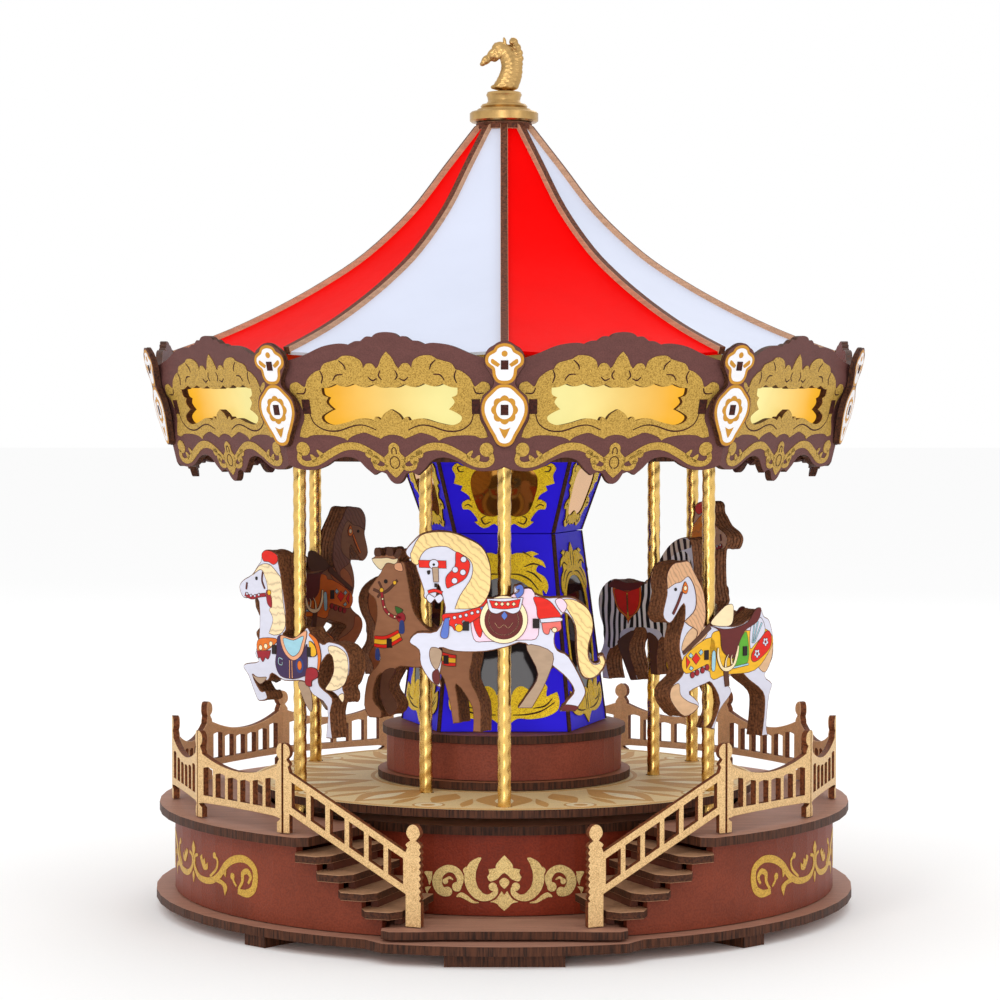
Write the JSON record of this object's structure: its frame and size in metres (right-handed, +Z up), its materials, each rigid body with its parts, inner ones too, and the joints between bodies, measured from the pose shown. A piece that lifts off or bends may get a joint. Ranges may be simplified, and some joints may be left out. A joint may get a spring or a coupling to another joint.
{
  "type": "carousel music box",
  "caption": "Wind-up carousel music box: fenced round base with stairs, a turning deck with tower and tented canopy, and animal riders that rise and fall on poles.",
  "frame": {"origin": "centre of the footprint, on the surface that the feet stand on", "axes": "+Z up, -Y towards the front with the two flights of stairs, +X to the right seen from the front"},
  "size_m": [0.2344, 0.2448, 0.2912],
  "materials": {
    "board_brown": "brown-stained plywood board with dark laser-cut edges",
    "wall_red": "reddish-brown wrap with a fine leather grain",
    "rail_gold": "plywood sprayed with a speckled khaki gold",
    "deck_cream": "printed inlay of pale and tan plywood",
    "tower_blue": "glossy royal blue facing",
    "cornice_brown": "mauve-brown stained plywood",
    "roof_sheet": "smooth sheet, red and bluish white by turns",
    "rib_wood": "plywood with dark cut edges",
    "glow": "warm lit diffuser",
    "gold": "bronze-gold satin paint on a cast piece",
    "pole_brass": "twisted bright brass",
    "black_plastic": "black moulded case",
    "steel": "plain steel",
    "brass_parts": "plain machined brass",
    "rider_white": "white print on layered plywood, dark cut edges",
    "rider_brown": "brown print on layered plywood, dark cut edges",
    "rider_striped": "striped print on layered plywood, dark cut edges"
  },
  "bodies": {
    "base": {"base_plate": "board_brown", "base_wall": "wall_red", "inner_wall": "wall_red", "terrace_board": "board_brown", "stage_ring": "board_brown", "mechanism_cover": "board_brown", "landing": "board_brown", "stairs_left": "board_brown", "stairs_right": "board_brown", "handrail_left": "rail_gold", "handrail_right": "rail_gold", "fence_left": "rail_gold", "fence_right": "rail_gold", "foot_front": "board_brown", "foot_front_left": "board_brown", "foot_front_right": "board_brown", "foot_back_left": "board_brown", "foot_back_right": "board_brown", "outer_cam": "board_brown", "inner_cam": "board_brown", "movement_bedplate": "steel", "music_comb": "steel"},
    "carousel": {"deck": "deck_cream", "drum_flange": "board_brown", "drum_wall": "wall_red", "drum_top": "board_brown", "tower_lower": "tower_blue", "tower_upper": "tower_blue", "ceiling_board": "board_brown", "battery_box": "black_plastic", "rib_frame": "rib_wood", "roof_skin": "roof_sheet", "cornice": "cornice_brown", "light_ring": "glow", "finial_base": "gold", "finial_horse": "gold", "turntable_shaft": "steel", "spring_barrel": "brass_parts"},
    "key": {"winding_key": "brass_parts"},
    "cylinder": {"music_cylinder": "brass_parts"},
    "governor": {"governor": "steel"},
    "switch": {"light_switch": "black_plastic"},
    "lift_front": {"pole_front": "pole_brass", "rider_front": "rider_white"},
    "lift_front_right": {"pole_front_right": "pole_brass", "rider_front_right": "rider_white"},
    "lift_back_right": {"pole_back_right": "pole_brass", "rider_back_right": "rider_brown"},
    "lift_back": {"pole_back": "pole_brass", "rider_back": "rider_brown"},
    "lift_back_left": {"pole_back_left": "pole_brass", "rider_back_left": "rider_brown"},
    "lift_front_left": {"pole_front_left": "pole_brass", "rider_front_left": "rider_white"},
    "lift_inner_left": {"pole_inner_left": "pole_brass", "rider_inner_left": "rider_brown"},
    "lift_inner_right": {"pole_inner_right": "pole_brass", "rider_inner_right": "rider_striped"},
    "lift_inner_back": {"pole_inner_back": "pole_brass", "rider_inner_back": "rider_brown"}
  },
  "joints": [
    {"name": "carousel_spin", "type": "hinge", "parent": "base", "child": "carousel", "pos_m": [0, 0, 0.03], "axis": [0, 0, 1], "continuous": true},
    {"name": "front_lift", "type": "slide", "parent": "carousel", "child": "lift_front", "axis": [0, 0, 1], "range_m": [-0.014, 0]},
    {"name": "back_right_lift", "type": "slide", "parent": "carousel", "child": "lift_back_right", "axis": [0, 0, 1], "range_m": [-0.014, 0]},
    {"name": "back_left_lift", "type": "slide", "parent": "carousel", "child": "lift_back_left", "axis": [0, 0, 1], "range_m": [-0.014, 0]},
    {"name": "front_right_lift", "type": "slide", "parent": "carousel", "child": "lift_front_right", "axis": [0, 0, 1], "range_m": [0, 0.014]},
    {"name": "back_lift", "type": "slide", "parent": "carousel", "child": "lift_back", "axis": [0, 0, 1], "range_m": [0, 0.014]},
    {"name": "front_left_lift", "type": "slide", "parent": "carousel", "child": "lift_front_left", "axis": [0, 0, 1], "range_m": [0, 0.014]},
    {"name": "inner_left_lift", "type": "slide", "parent": "carousel", "child": "lift_inner_left", "axis": [0, 0, 1], "range_m": [-0.007, 0.007]},
    {"name": "inner_right_lift", "type": "slide", "parent": "carousel", "child": "lift_inner_right", "axis": [0, 0, 1], "range_m": [-0.007, 0.007]},
    {"name": "inner_back_lift", "type": "slide", "parent": "carousel", "child": "lift_inner_back", "axis": [0, 0, 1], "range_m": [-0.007, 0.007]},
    {"name": "cylinder_spin", "type": "hinge", "parent": "base", "child": "cylinder", "pos_m": [0, 0.0175, 0.023], "axis": [1, 0, 0], "continuous": true},
    {"name": "governor_spin", "type": "hinge", "parent": "base", "child": "governor", "pos_m": [0.024, 0.014, 0.02], "axis": [0, 0, 1], "continuous": true},
    {"name": "key_turn", "type": "hinge", "parent": "base", "child": "key", "pos_m": [0, 0, 0.007], "axis": [0, 0, 1], "range_deg": [0, 1890]},
    {"name": "switch_slide", "type": "slide", "parent": "carousel", "child": "switch", "axis": [1, 0, 0], "range_m": [0, 0.0028]}
  ],
  "couplings": [
    {"joint": "back_right_lift", "follows": "front_lift", "ratio": 1},
    {"joint": "back_left_lift", "follows": "front_lift", "ratio": 1},
    {"joint": "front_right_lift", "follows": "front_lift", "ratio": -1},
    {"joint": "back_lift", "follows": "front_lift", "ratio": -1},
    {"joint": "front_left_lift", "follows": "front_lift", "ratio": -1},
    {"joint": "inner_right_lift", "follows": "inner_left_lift", "ratio": 1},
    {"joint": "inner_back_lift", "follows": "inner_left_lift", "ratio": 1},
    {"joint": "cylinder_spin", "follows": "carousel_spin", "ratio": 2.4},
    {"joint": "governor_spin", "follows": "carousel_spin", "ratio": -12}
  ]
}
